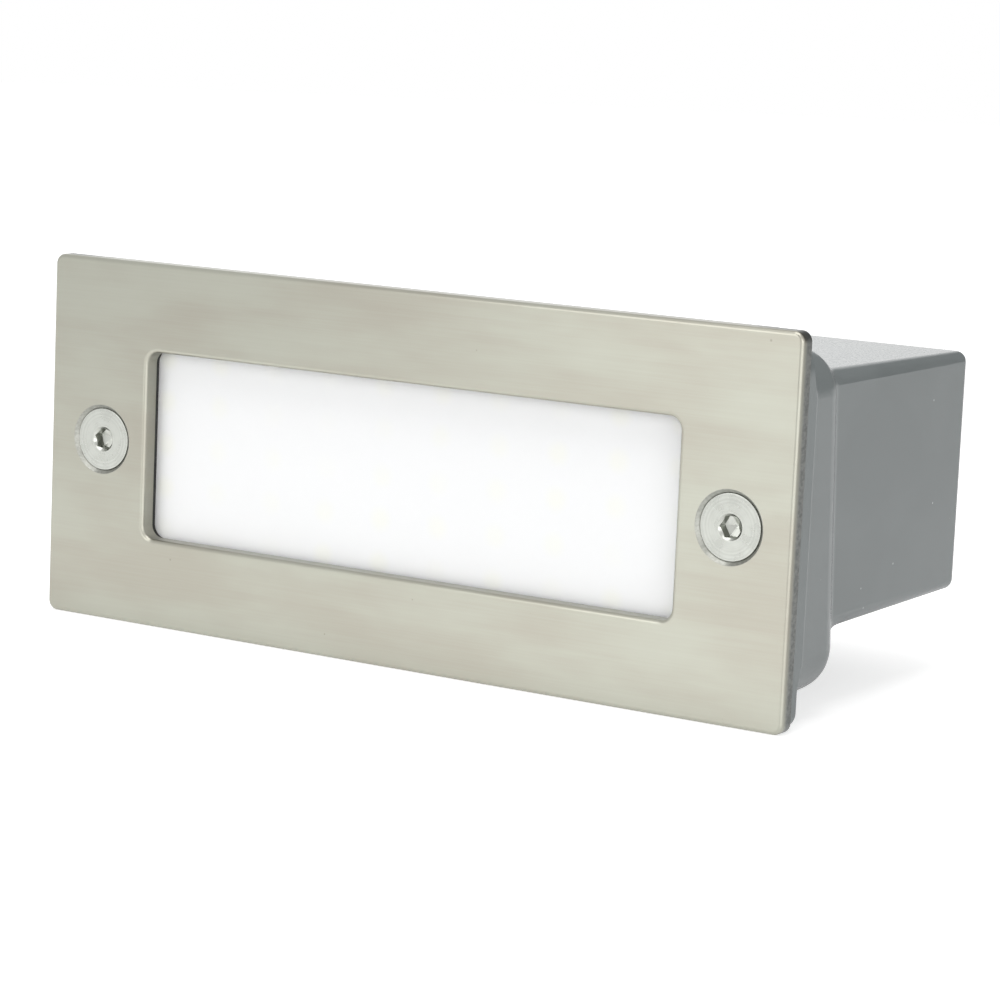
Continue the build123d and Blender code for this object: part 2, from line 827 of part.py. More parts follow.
def led_lead(up):
    """Insulated lead from the driver to the light board's plug, straight runs joined by arcs."""
    start = Vector(
        driver_offset + driver_plug_x, driver_plug_front, body_middle + up * led_lead_spacing / 2
    )
    end = Vector(plug_x, floor_front + plug_depth, up * led_lead_spacing / 2)
    first = start - Vector(0, led_lead_run, 0)
    last = end + Vector(0, led_lead_run, 0)
    runs = [(first - start), (last - first), (end - last)]
    shortest = min(run.length for run in runs)
    turn = math.radians(runs[0].get_angle(runs[1]))
    radius = bend_share * shortest / math.tan(turn / 2)
    route = FilletPolyline(start, first, last, end, radius=radius)
    lead = sweep(Plane(origin=start, z_dir=(0, -1, 0)) * Circle(lead_radius), path=route)
    expected = math.pi * lead_radius**2 * route.length
    print("light lead", up, "radius", round(radius, 1), "volume share", round(lead.volume / expected, 4))
    return lead


def gland_washer():
    """Flat sealing washer under the gland's hexagon."""
    outer = disc(gland_flats / 2 - gland_washer_inset, gland_offset, body_middle)
    inner = disc(gland_thread_radius + gland_hole_gap, gland_offset, body_middle)
    return prism(outer - inner, body_depth, gland_washer_back)


def gland_body():
    """Gland body: threaded stub through the wall, hexagon and the spigot that holds the seal."""
    stub_end = rear_inside - locknut_thickness - gland_stub_spare
    body = prism(disc(gland_thread_radius - thread_gap, gland_offset, body_middle), stub_end, gland_mouth)
    body = body + prism(hexagon(gland_flats, gland_offset, body_middle), gland_washer_back, gland_hex_back)
    body = body - prism(disc(gland_bore_radius, gland_offset, body_middle), stub_end, gland_mouth)
    seat = disc(gland_seal_radius + gland_seal_gap, gland_offset, body_middle)
    return body - prism(seat, gland_seal_front, gland_mouth)


def gland_locknut():
    """Hexagon nut inside the housing."""
    start = rear_inside - locknut_thickness
    nut = prism(hexagon(gland_flats, gland_offset, body_middle), start, rear_inside)
    return nut - prism(disc(gland_thread_radius, gland_offset, body_middle), start, rear_inside)


def gland_seal():
    """Rubber bush that grips the cable."""
    ring = disc(gland_seal_radius, gland_offset, body_middle)
    ring = ring - disc(gland_seal_bore, gland_offset, body_middle)
    return prism(ring, gland_seal_front, gland_mouth)


def gland_claw():
    """Slit ring that the dome presses inwards on the seal."""
    back = claw_front + claw_length
    ring = cone(
        gland_thread_radius - gland_seal_gap - claw_gap, claw_tip_radius, claw_front, back,
        gland_offset, body_middle,
    )
    ring = ring - prism(disc(claw_bore_radius, gland_offset, body_middle), claw_front, back)
    band = claw_length / 3
    for index in range(claw_slits):
        angle = index * 360 / claw_slits
        slit = Pos(gland_offset, -body_middle) * Rot(0, 0, angle) * Pos(gland_thread_radius / 2, 0)
        slit = slit * Rectangle(gland_thread_radius, claw_slit_width)
        ring = ring - prism(slit, claw_front + band, back)
    return ring


def gland_nut():
    """Dome nut over the claw and the spigot."""
    nut = prism(hexagon(gland_flats, gland_offset, body_middle), nut_front, nut_hex_back)
    dome_foot = gland_flats / 2 - gland_washer_inset
    dome = prism(disc(dome_foot, gland_offset, body_middle), nut_hex_back, nut_back)
    dome = fillet(dome.edges().sort_by(Axis.Y)[-1], nut_dome_length - nut_round)
    nut = nut + dome
    shaft = gland_thread_radius
    claw_back = claw_front + claw_length
    nut = nut - prism(disc(shaft, gland_offset, body_middle), nut_front, claw_front)
    nut = nut - cone(
        shaft, claw_tip_radius + gland_seal_gap, claw_front, claw_back + claw_gap,
        gland_offset, body_middle,
    )
    return nut - prism(disc(nut_mouth_radius, gland_offset, body_middle), claw_back, nut_back)


def main():
    """Writes every piece of the light to its own file."""
    os.makedirs("parts", exist_ok=True)
    pieces = {
        "front_bezel": bezel(),
        "bezel_gasket": bezel_gasket(),
        "opal_diffuser": diffuser(),
        "diffuser_seal": diffuser_seal(),
        "bezel_screw_left": bezel_screw(-1, socket_turn_left),
        "bezel_screw_right": bezel_screw(1, socket_turn_right),
        "screw_ring_left": screw_ring(-1),
        "screw_ring_right": screw_ring(1),
        "threaded_insert_left": insert(-1),
        "threaded_insert_right": insert(1),
        "housing": housing(),
        "light_tray": light_tray(),
        "tray_screws": tray_screws(),
        "led_board": led_board(),
        "led_chips": led_chips(),
        "led_board_screws": led_board_screws(),
        "led_plug": led_plug(),
        "driver_case": driver_case(),
        "driver_lid": driver_lid(),
        "driver_board": driver_board(),
        "driver_plugs": driver_plugs(),
        "driver_transformer": driver_transformer(),
        "driver_capacitors": driver_capacitors(),
        "driver_screws": driver_screws(),
        "terminal_block": terminal_block(),
        "terminal_cages": terminal_cages(),
        "terminal_screws": terminal_screws(),
        "terminal_fixing_screw": terminal_fixing_screw(),
        "supply_lead_live": supply_lead(1),
        "supply_lead_neutral": supply_lead(-1),
        "led_lead_positive": led_lead(1),
        "led_lead_negative": led_lead(-1),
        "gland_washer": gland_washer(),
        "gland_body": gland_body(),
        "gland_locknut": gland_locknut(),
        "gland_seal": gland_seal(),
        "gland_claw": gland_claw(),
        "gland_nut": gland_nut(),
    }
    for name, shape in pieces.items():
        export_step(shape, f"parts/{name}.step")


main()
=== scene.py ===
"""Dresses the recessed step light: procedural finishes, turned screws, light chips and a small studio.

Sizes are in millimetres in the dataclasses and become metres in the meshes. X runs along the front
plate, Y goes into the wall and Z is up.
"""

from __future__ import annotations

import json
import logging
import math
from dataclasses import dataclass, field, replace
from enum import Enum
from typing import Any

import bpy
import numpy as np
from mathutils import Matrix, Vector

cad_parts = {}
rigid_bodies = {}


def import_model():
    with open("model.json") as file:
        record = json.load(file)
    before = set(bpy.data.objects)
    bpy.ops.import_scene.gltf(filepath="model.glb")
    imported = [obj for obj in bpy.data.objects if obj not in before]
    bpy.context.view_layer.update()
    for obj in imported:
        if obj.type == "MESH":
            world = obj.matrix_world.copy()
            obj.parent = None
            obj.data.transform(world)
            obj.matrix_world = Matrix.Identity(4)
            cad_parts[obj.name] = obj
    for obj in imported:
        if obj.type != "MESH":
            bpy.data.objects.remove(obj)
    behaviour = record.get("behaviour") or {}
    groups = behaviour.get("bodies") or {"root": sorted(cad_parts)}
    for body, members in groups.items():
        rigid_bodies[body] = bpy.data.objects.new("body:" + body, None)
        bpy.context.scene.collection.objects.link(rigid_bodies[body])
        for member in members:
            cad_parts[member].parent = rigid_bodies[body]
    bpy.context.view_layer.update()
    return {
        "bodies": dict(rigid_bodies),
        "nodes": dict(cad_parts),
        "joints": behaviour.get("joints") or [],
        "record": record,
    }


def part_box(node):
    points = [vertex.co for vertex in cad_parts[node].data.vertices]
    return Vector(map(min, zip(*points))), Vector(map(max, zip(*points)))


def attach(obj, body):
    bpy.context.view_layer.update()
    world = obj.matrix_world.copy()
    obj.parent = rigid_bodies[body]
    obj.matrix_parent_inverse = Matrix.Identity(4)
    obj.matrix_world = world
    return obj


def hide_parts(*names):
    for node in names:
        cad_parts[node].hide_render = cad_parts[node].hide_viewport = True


MM = 0.001
WHITE = (1.0, 1.0, 1.0, 1.0)
BLACK = (0.0, 0.0, 0.0, 1.0)
Tree = bpy.types.NodeTree
Socket = bpy.types.NodeSocket
Triple = tuple[float, float, float]
log = logging.getLogger("step_light")


# ---------------------------------------------------------------- small helpers


def linear(code: str) -> tuple[float, float, float, float]:
    """Turns an sRGB hex colour into linear light.

    Args:
        code: six hex digits with a leading #.

    Returns:
        Linear red, green, blue and an alpha of one.
    """
    parts = [int(code[i : i + 2], 16) / 255 for i in (1, 3, 5)]
    lin = [p / 12.92 if p <= 0.04045 else ((p + 0.055) / 1.055) ** 2.4 for p in parts]
    return (lin[0], lin[1], lin[2], 1.0)


def add(tree: Tree, kind: str, inputs: dict[Any, Any] | None = None, **settings: Any) -> bpy.types.Node:
    """Adds one node.

    Args:
        tree: the node tree it joins.
        kind: the node's type name after "ShaderNode".
        inputs: socket name or index to a value, or to the output socket that feeds it.
        settings: attributes of the node.

    Returns:
        The new node.
    """
    node = tree.nodes.new("ShaderNode" + kind)
    for name, value in settings.items():
        setattr(node, name, value)
    for key, value in (inputs or {}).items():
        if isinstance(value, Socket):
            tree.links.new(value, node.inputs[key])
        else:
            node.inputs[key].default_value = value
    return node


def math_node(tree: Tree, operation: str, *values: Any) -> Socket:
    """Adds one Math node.

    Args:
        tree: the node tree it joins.
        operation: Blender's name of the operation.
        values: its operands, numbers or sockets, in order.

    Returns:
        The result.
    """
    return add(tree, "Math", dict(enumerate(values)), operation=operation).outputs[0]


def object_parts(tree: Tree) -> bpy.types.NodeOutputs:
    """Splits the Object coordinates.

    Args:
        tree: the node tree that needs them.

    Returns:
        The sockets X, Y and Z, in metres.
    """
    spot = add(tree, "TexCoord").outputs["Object"]
    return add(tree, "SeparateXYZ", {"Vector": spot}).outputs


def grid_mesh(
    name: str, rows: np.ndarray, close_start: bool, close_end: bool, smooth_deg: float = 35.0
) -> bpy.types.Object:
    """Builds a closed-round surface from rows of points.

    Point (i, j) is row i at step j round the axis. Each face joins (i, j), (i, j+1), (i+1, j+1) and
    (i+1, j), with j taken round the ring, and an end is closed by a fan to the mean of its row.

    Args:
        name: the object's name.
        rows: array of shape (rows, steps, 3), in millimetres.
        close_start: whether the first row gets a fan.
        close_end: whether the last row gets a fan.
        smooth_deg: edges sharper than this stay crisp.

    Returns:
        The new object, at the origin.
    """
    count, steps = rows.shape[:2]
    index = np.arange(count * steps).reshape(count, steps)
    turned = np.roll(index, -1, axis=1)
    quads = np.stack([index[:-1], turned[:-1], turned[1:], index[1:]], axis=-1).reshape(-1, 4)
    points = rows.reshape(-1, 3)
    faces = quads.tolist()
    if close_start:
        points = np.vstack([points, rows[0].mean(axis=0)])
        hub = np.full(steps, len(points) - 1)
        faces += np.stack([hub, turned[0], index[0]], axis=-1).tolist()
    if close_end:
        points = np.vstack([points, rows[-1].mean(axis=0)])
        hub = np.full(steps, len(points) - 1)
        faces += np.stack([hub, index[-1], turned[-1]], axis=-1).tolist()
    return mesh_object(name, points, faces, smooth_deg)


def mesh_object(
    name: str, points: np.ndarray, faces: list[list[int]], smooth_deg: float
) -> bpy.types.Object:
    """Makes one object from points and faces.

    Args:
        name: the object's name.
        points: array of shape (points, 3), in millimetres.
        faces: point indices of each face, already turned outwards.
        smooth_deg: edges sharper than this stay crisp.

    Returns:
        The new object, at the origin.
    """
    mesh = bpy.data.meshes.new(name)
    mesh.from_pydata((points * MM).tolist(), [], faces)
    mesh.validate()
    mesh.shade_smooth()
    mesh.set_sharp_from_angle(angle=math.radians(smooth_deg))
    thing = bpy.data.objects.new(name, mesh)
    bpy.context.scene.collection.objects.link(thing)
    return thing


# ---------------------------------------------------------------- finishes


@dataclass(frozen=True)
class Finish:
    """A finish that dresses a surface; its subclasses say what the real material is."""

    name: str
    colour: str
    roughness: float

    def material(self) -> bpy.types.Material:
        """Makes the Blender material, once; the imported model's plain one has the bare name.

        Returns:
            The material.
        """
        made = bpy.data.materials.get(f"{self.name}_finish")
        if made is not None:
            return made
        made = bpy.data.materials.new(f"{self.name}_finish")
        made.use_nodes = True
        tree = made.node_tree
        tree.nodes.clear()
        shader = add(tree, "BsdfPrincipled")
        add(tree, "OutputMaterial", {"Surface": shader.outputs["BSDF"]})
        shader.inputs["Roughness"].default_value = self.roughness
        self.shade(tree, shader)
        made.diffuse_color = linear(self.colour)
        return made

    def shade(self, tree: Tree, shader: bpy.types.Node) -> None:
        """Fills the shader; each subclass has its own.

        Args:
            tree: the material's node tree.
            shader: its main shader.
        """
        shader.inputs["Base Color"].default_value = linear(self.colour)

    def place(self, tree: Tree, size_mm: Triple) -> Socket:
        """Divides Object coordinates by a pattern's size.

        Args:
            tree: the material's node tree.
            size_mm: the pattern's size along each axis, in millimetres.

        Returns:
            The coordinates, one unit to each size.
        """
        spot = add(tree, "TexCoord")
        scale = tuple(1 / (s * MM) for s in size_mm)
        return add(tree, "Mapping", {"Vector": spot.outputs["Object"], "Scale": scale}).outputs["Vector"]

    def noise(self, tree: Tree, size_mm: Triple, detail: float, **more: float) -> Socket:
        """Adds one noise pattern.

        Args:
            tree: the material's node tree.
            size_mm: size of its largest lumps along each axis, in millimetres.
            detail: how many finer layers lie on them.
            more: the node's Roughness or Distortion, where they aren't the defaults.

        Returns:
            The noise, from 0 to 1 about a middle of 0.5.
        """
        inputs = {"Vector": self.place(tree, size_mm), "Scale": 1.0, "Detail": detail, **more}
        return add(tree, "TexNoise", inputs).outputs["Fac"]

    def specks(self, tree: Tree, cell_mm: float, core: float, rim: float, share: float) -> Socket:
        """Adds sparse round specks, where the surface passes close to the point of a Voronoi cell.

        Args:
            tree: the material's node tree.
            cell_mm: size of a cell, in millimetres.
            core: distance from the point, in cells, within which a speck is full.
            rim: distance at which it ends.
            share: how strong a full speck is.

        Returns:
            The specks' strength.
        """
        spot = self.place(tree, (cell_mm,) * 3)
        cells = add(tree, "TexVoronoi", {"Vector": spot, "Scale": 1.0, "Randomness": 1.0})
        return self.ramp(tree, cells.outputs["Distance"], core, rim, share, 0.0)

    def mixed(self, tree: Tree, share: Socket, first: str | Socket, second: str | Socket) -> Socket:
        """Mixes two colours.

        Args:
            tree: the material's node tree.
            share: how much there is of the second colour.
            first: a hex code or a socket.
            second: a hex code or a socket.

        Returns:
            The mixed colour.
        """
        pair = [linear(c) if isinstance(c, str) else c for c in (first, second)]
        node = add(tree, "Mix", {"Factor": share}, data_type="RGBA")
        for socket, value in zip((node.inputs[6], node.inputs[7]), pair):
            if isinstance(value, Socket):
                tree.links.new(value, socket)
            else:
                socket.default_value = value
        return node.outputs[2]

    def ramp(
        self, tree: Tree, value: Socket, low: float, high: float, out_low: float = 0.0, out_high: float = 1.0
    ) -> Socket:
        """Carries a value from one range to another, smoothly and held at both ends.

        Args:
            tree: the material's node tree.
            value: what is carried over.
            low: start of its range.
            high: end of its range.
            out_low: result at the start.
            out_high: result at the end.

        Returns:
            The result.
        """
        node = add(
            tree,
            "MapRange",
            {"Value": value, "From Min": low, "From Max": high, "To Min": out_low, "To Max": out_high},
            interpolation_type="SMOOTHSTEP",
        )
        return node.outputs["Result"]

    def bump(self, tree: Tree, height: Socket, depth_mm: float, under: Socket | None = None) -> Socket:
        """Turns a height into a normal.

        Args:
            tree: the material's node tree.
            height: the relief, from 0 to 1.
            depth_mm: how deep the whole relief is, in millimetres.
            under: normal of a relief that lies below this one.

        Returns:
            The normal.
        """
        node = add(tree, "Bump", {"Height": height, "Distance": depth_mm * MM, "Strength": 1.0})
        if under is not None:
            tree.links.new(under, node.inputs["Normal"])
        return node.outputs["Normal"]


@dataclass(frozen=True)
class BrushedStainless(Finish):
    """Austenitic stainless sheet, belt-brushed along X: a warm grey satin with soft streaks."""

    light_colour: str = "#A9AA9F"
    dark_colour: str = "#A09D92"
    streak_mm: Triple = (30.0, 0.35, 0.35)
    cloud_mm: Triple = (45.0, 12.0, 12.0)
    pit_colour: str = "#6E6C63"
    # Colours of the cut edges and countersinks: partly bare cut steel, partly painted shade.
    cut_and_shade_colours: tuple[str, str] = ("#7C7E7C", "#989A97")
    streak_share: float = 0.22
    cloud_share: float = 0.75
    pit_share: float = 0.42
    depth_mm: float = 0.002
    cut_depth_mm: float = 0.015
    burr_mm: Triple = (0.7, 1.0, 0.7)
    face_mm: float = -6.2
    soft_edge_mm: tuple[float, float] = (0.5, 1.9)
    ends_mm: tuple[float, float] = (70.0, 80.0)
    long_edge_share: float = 0.1
    sink_place_mm: float = 72.0
    sink_radius_mm: float = 7.1
    sink_share: float = 0.6

    def cut_edge_and_shade(self, tree: Tree) -> tuple[Socket, Socket]:
        """The cut edge and the countersinks, which no belt reaches, are rougher and painted darker: partly
        the bare cut steel, partly painted shade on these side-facing and recessed walls.

        The cut edge begins behind the soft front edge and is full at the two ends, where |x| is
        over 80 mm; the long edges and the window are dressed smoother. A countersink is where the
        distance to a screw's axis, sqrt((|x| - place)^2 + z^2), is under its mouth's radius.

        Args:
            tree: the material's node tree.

        Returns:
            Share of cut surface and painted shade, 0 on the face and 1 behind the soft edge, and the cut's
            mottling.
        """
        parts = object_parts(tree)
        low, high = ((self.face_mm + value) * MM for value in self.soft_edge_mm)
        across = math_node(tree, "ABSOLUTE", parts["X"])
        start, full = (value * MM for value in self.ends_mm)
        ends = self.ramp(tree, across, start, full, self.long_edge_share, 1.0)
        wall = math_node(tree, "MULTIPLY", self.ramp(tree, parts["Y"], low, high), ends)
        across = math_node(tree, "SUBTRACT", across, self.sink_place_mm * MM)
        flat = add(tree, "CombineXYZ", {"X": across, "Y": parts["Z"]}).outputs["Vector"]
        away = add(tree, "VectorMath", {0: flat}, operation="LENGTH").outputs["Value"]
        mouth = self.sink_radius_mm * MM
        sink = self.ramp(tree, away, mouth - 0.15 * MM, mouth, self.sink_share, 0.0)
        return math_node(tree, "MAXIMUM", wall, sink), self.noise(tree, self.burr_mm, 3.0, Roughness=0.55)

    def shade(self, tree: Tree, shader: bpy.types.Node) -> None:
        """Fine streaks from a belt of about 180 grit, drawn 0.35 mm wide so that they show.

        Args:
            tree: the material's node tree.
            shader: its main shader.
        """
        fine = self.noise(tree, self.streak_mm, 5.0, Roughness=0.62)
        cloud = self.noise(tree, self.cloud_mm, 3.0, Roughness=0.55)
        streak = math_node(tree, "MULTIPLY", self.ramp(tree, fine, 0.3, 0.7), self.streak_share)
        share = math_node(tree, "MULTIPLY_ADD", self.ramp(tree, cloud, 0.32, 0.68), self.cloud_share, streak)
        tone = self.mixed(tree, share, self.dark_colour, self.light_colour)
        pits = self.specks(tree, 9.0, 0.018, 0.034, self.pit_share)
        tone = self.mixed(tree, pits, tone, self.pit_colour)
        # Cut edges, window walls and countersinks are painted darker: partly bare cut steel, partly painted
        # shade.
        edge, burr = self.cut_edge_and_shade(tree)
        cut = self.mixed(tree, self.ramp(tree, burr, 0.3, 0.7), *self.cut_and_shade_colours)
        tree.links.new(self.mixed(tree, edge, tone, cut), shader.inputs["Base Color"])
        shader.inputs["Metallic"].default_value = 1.0
        shader.inputs["Anisotropic"].default_value = 0.7
        rough = self.ramp(tree, fine, 0.25, 0.75, self.roughness - 0.015, self.roughness + 0.02)
        tree.links.new(math_node(tree, "MULTIPLY_ADD", edge, 0.15, rough), shader.inputs["Roughness"])
        upward = add(tree, "CombineXYZ", {"Z": 1.0})
        tree.links.new(upward.outputs["Vector"], shader.inputs["Tangent"])
        cut_relief = self.bump(tree, math_node(tree, "MULTIPLY", edge, burr), self.cut_depth_mm)
        tree.links.new(self.bump(tree, fine, self.depth_mm, cut_relief), shader.inputs["Normal"])


@dataclass(frozen=True)
class TurnedMetal(Finish):
    """Metal turned on a lathe: rings about an axis along Y, as on a screw's face or a brass insert."""

    dark_colour: str = "#8F8F8C"
    centre_mm: tuple[float, float] = (0.0, 0.0)
    ring_mm: float = 0.35
    depth_mm: float = 0.003

    def shade(self, tree: Tree, shader: bpy.types.Node) -> None:
        """Lathe feed marks of about 0.1 mm, drawn coarser so that they show, with a grey film.

        Args:
            tree: the material's node tree.
            shader: its main shader.
        """
        spot = add(tree, "TexCoord").outputs["Object"]
        shift = (-self.centre_mm[0] * MM, 0.0, -self.centre_mm[1] * MM)
        moved = add(tree, "Mapping", {"Vector": spot, "Location": shift, "Scale": (1.0, 0.0, 1.0)})
        radius = add(tree, "VectorMath", {0: moved.outputs["Vector"]}, operation="LENGTH").outputs["Value"]
        count = math_node(tree, "MULTIPLY", radius, 1 / (self.ring_mm * MM))
        inputs = {"W": count, "Scale": 1.0, "Detail": 3.0, "Roughness": 0.7}
        rings = add(tree, "TexNoise", inputs, noise_dimensions="1D").outputs["Fac"]
        film = self.noise(tree, (2.4, 2.4, 2.4), 4.0)
        share = self.ramp(tree, math_node(tree, "MULTIPLY", rings, film), 0.12, 0.4)
        tree.links.new(self.mixed(tree, share, self.dark_colour, self.colour), shader.inputs["Base Color"])
        shader.inputs["Metallic"].default_value = 1.0
        rough = self.ramp(tree, film, 0.3, 0.7, self.roughness - 0.04, self.roughness + 0.06)
        tree.links.new(rough, shader.inputs["Roughness"])
        tree.links.new(self.bump(tree, rings, self.depth_mm), shader.inputs["Normal"])


@dataclass(frozen=True)
class MouldedPlastic(Finish):
    """Injection-moulded plastic: a soft gloss over a fine spark texture, with slight flow mottling."""

    mottle_colour: str = "#777D7B"
    grain_mm: float = 0.5
    depth_mm: float = 0.006
    mottle_mm: Triple = (18.0, 26.0, 18.0)
    speck_share: float = 0.0
    speck_colour: str = "#D8DBD8"

    def shade(self, tree: Tree, shader: bpy.types.Node) -> None:
        """Spark texture of about 0.1 mm, drawn coarser so that it shows, and faint flow marks.

        Args:
            tree: the material's node tree.
            shader: its main shader.
        """
        grain = self.noise(tree, (self.grain_mm,) * 3, 3.0, Roughness=0.6)
        flow = self.noise(tree, self.mottle_mm, 2.0, Distortion=0.6)
        tone = self.mixed(tree, self.ramp(tree, flow, 0.3, 0.7), self.mottle_colour, self.colour)
        if self.speck_share > 0:
            dust = self.specks(tree, 6.0, 0.02, 0.045, self.speck_share)
            tone = self.mixed(tree, dust, tone, self.speck_colour)
        tree.links.new(tone, shader.inputs["Base Color"])
        rough = self.ramp(tree, grain, 0.3, 0.7, self.roughness - 0.03, self.roughness + 0.05)
        tree.links.new(rough, shader.inputs["Roughness"])
        tree.links.new(self.bump(tree, grain, self.depth_mm), shader.inputs["Normal"])


@dataclass(frozen=True)
class OpalAcrylic(Finish):
    """Cast opal acrylic sheet: near white and softly translucent, with faint warm spots painted where the
    chips behind it would show through.
    """

    show_through_colour: str = "#FCFDF7"
    pitch_mm: tuple[float, float] = (13.12, 8.68)
    count: tuple[int, int] = (8, 3)
    spot_mm: float = 3.4

    def shade(self, tree: Tree, shader: bpy.types.Node) -> None:
        """Each painted show-through spot is a soft disc about a chip: the distance in X and Z to the middle
        of its cell.

        Args:
            tree: the material's node tree.
            shader: its main shader.
        """
        parts = object_parts(tree)
        squares = []
        for axis, pitch, count in zip("XZ", self.pitch_mm, self.count):
            moved = math_node(tree, "ADD", parts[axis], pitch * MM * count / 2)
            cell = math_node(tree, "FLOORED_MODULO", moved, pitch * MM)
            off = math_node(tree, "ADD", cell, -pitch * MM / 2)
            squares.append(math_node(tree, "POWER", off, 2.0))
        away = math_node(tree, "POWER", math_node(tree, "ADD", *squares), 0.5)
        drift = self.noise(tree, (24.0, 24.0, 24.0), 1.0)
        depth = self.ramp(tree, drift, 0.35, 0.65, 0.15, 1.0)
        near = self.ramp(tree, away, 0.6 * MM, self.spot_mm * MM, 1.0, 0.0)
        share = math_node(tree, "MULTIPLY", near, depth)
        # Painted show-through: the chips' warm tint seen through the sheet is painted into its colour.
        tree.links.new(self.mixed(tree, share, self.colour, self.show_through_colour), shader.inputs["Base Color"])
        shader.inputs["Subsurface Weight"].default_value = 0.35
        shader.inputs["Subsurface Radius"].default_value = (1.0, 1.0, 1.0)
        shader.inputs["Subsurface Scale"].default_value = 1.5 * MM
        satin = self.noise(tree, (0.6, 0.6, 0.6), 2.0)
        rough = self.ramp(tree, satin, 0.3, 0.7, self.roughness - 0.02, self.roughness + 0.03)
        tree.links.new(rough, shader.inputs["Roughness"])
        tree.links.new(self.bump(tree, satin, 0.002), shader.inputs["Normal"])


@dataclass(frozen=True)
class Elastomer(Finish):
    """Moulded rubber or closed-cell foam: dull, with fine pores and a dusty bloom."""

    bloom_colour: str = "#2C2C2B"
    pore_mm: float = 0.4
    depth_mm: float = 0.03

    def shade(self, tree: Tree, shader: bpy.types.Node) -> None:
        """Pores are cells of a Voronoi pattern; the bloom is a broad pale noise.

        Args:
            tree: the material's node tree.
            shader: its main shader.
        """
        cells = add(tree, "TexVoronoi", {"Vector": self.place(tree, (self.pore_mm,) * 3), "Scale": 1.0})
        share = self.ramp(tree, self.noise(tree, (7.0, 7.0, 7.0), 4.0), 0.35, 0.7, 0.0, 0.7)
        tree.links.new(self.mixed(tree, share, self.colour, self.bloom_colour), shader.inputs["Base Color"])
        tree.links.new(self.bump(tree, cells.outputs["Distance"], self.depth_mm), shader.inputs["Normal"])


@dataclass(frozen=True)
class ZincPlate(Finish):
    """Zinc-plated steel: bright, bluish, with cloudy plating and light tool wear."""

    tint_colour: str = "#A9B0BC"

    def shade(self, tree: Tree, shader: bpy.types.Node) -> None:
        """Plating clouds of a millimetre or so, and a fine drawn grain.

        Args:
            tree: the material's node tree.
            shader: its main shader.
        """
        cloud = self.noise(tree, (1.6, 1.6, 1.6), 4.0, Distortion=1.0)
        share = self.ramp(tree, cloud, 0.3, 0.7)
        tree.links.new(self.mixed(tree, share, self.tint_colour, self.colour), shader.inputs["Base Color"])
        shader.inputs["Metallic"].default_value = 1.0
        rough = self.ramp(tree, cloud, 0.3, 0.7, self.roughness, self.roughness + 0.12)
        tree.links.new(rough, shader.inputs["Roughness"])
        grain = self.noise(tree, (0.3, 0.3, 0.3), 2.0)
        tree.links.new(self.bump(tree, grain, 0.004), shader.inputs["Normal"])


@dataclass(frozen=True)
class SolderMask(Finish):
    """Lacquered circuit board: mask over copper tracks, which stand up slightly and tint it."""

    track_colour: str = "#DDE3DF"
    track_mm: tuple[float, float] = (13.0, 4.0)

    def shade(self, tree: Tree, shader: bpy.types.Node) -> None:
        """Tracks are the bricks of a long low brick pattern; the gaps between them are bare laminate.

        Args:
            tree: the material's node tree.
            shader: its main shader.
        """
        parts = object_parts(tree)
        flat = add(tree, "CombineXYZ", {"X": parts["X"], "Y": parts["Z"]}).outputs["Vector"]
        sizes = {"Scale": 1 / MM, "Brick Width": self.track_mm[0], "Row Height": self.track_mm[1]}
        gaps = {"Mortar Size": 0.22, "Mortar Smooth": 0.2, "Mortar": BLACK}
        inputs = {"Vector": flat, **sizes, **gaps, "Color1": WHITE, "Color2": WHITE}
        bricks = add(tree, "TexBrick", inputs, offset=0.35, squash=1.6, squash_frequency=3)
        share = add(tree, "RGBToBW", {"Color": bricks.outputs["Color"]}).outputs["Val"]
        tree.links.new(self.mixed(tree, share, self.colour, self.track_colour), shader.inputs["Base Color"])
        lumps = self.bump(tree, self.noise(tree, (0.7, 0.7, 0.7), 2.0), 0.008)
        tree.links.new(self.bump(tree, share, 0.035, lumps), shader.inputs["Normal"])
        shader.inputs["Coat Weight"].default_value = 0.3
        shader.inputs["Coat Roughness"].default_value = 0.2


@dataclass(frozen=True)
class BandedPiece(Finish):
    """A band of one colour on a wound or sleeved piece of another, such as tape on a coil."""

    far_colour: str = "#404040"
    grain_colour: str = "#1C1A16"
    part_mm: tuple[float, float] = (0.0, 1.0)
    bare_metal: bool = False

    def shade(self, tree: Tree, shader: bpy.types.Node) -> None:
        """The band runs between two depths along Y; a fine winding or sleeve grain lies over both.

        Args:
            tree: the material's node tree.
            shader: its main shader.
        """
        depth = object_parts(tree)["Y"]
        low, high = (value * MM for value in self.part_mm)
        after = math_node(tree, "GREATER_THAN", depth, low)
        band = math_node(tree, "MULTIPLY", after, math_node(tree, "LESS_THAN", depth, high))
        grain = self.noise(tree, (2.2, 0.5, 2.2), 3.0)
        tone = self.mixed(tree, band, self.far_colour, self.colour)
        tone = self.mixed(tree, self.ramp(tree, grain, 0.3, 0.7, 0.0, 0.25), tone, self.grain_colour)
        tree.links.new(tone, shader.inputs["Base Color"])
        if self.bare_metal:
            tree.links.new(math_node(tree, "SUBTRACT", 1.0, band), shader.inputs["Metallic"])
        tree.links.new(self.bump(tree, grain, 0.02), shader.inputs["Normal"])


@dataclass(frozen=True)
class Insulation(Finish):
    """Extruded PVC insulation: glossy, with a slight pull along the lead."""

    scuff_colour: str = "#808080"

    def shade(self, tree: Tree, shader: bpy.types.Node) -> None:
        """Faint scuffs and a long shallow waviness.

        Args:
            tree: the material's node tree.
            shader: its main shader.
        """
        scuff = self.noise(tree, (1.2, 3.0, 1.2), 4.0)
        share = self.ramp(tree, scuff, 0.55, 0.8, 0.0, 0.25)
        tree.links.new(self.mixed(tree, share, self.colour, self.scuff_colour), shader.inputs["Base Color"])
        tree.links.new(self.bump(tree, scuff, 0.01), shader.inputs["Normal"])


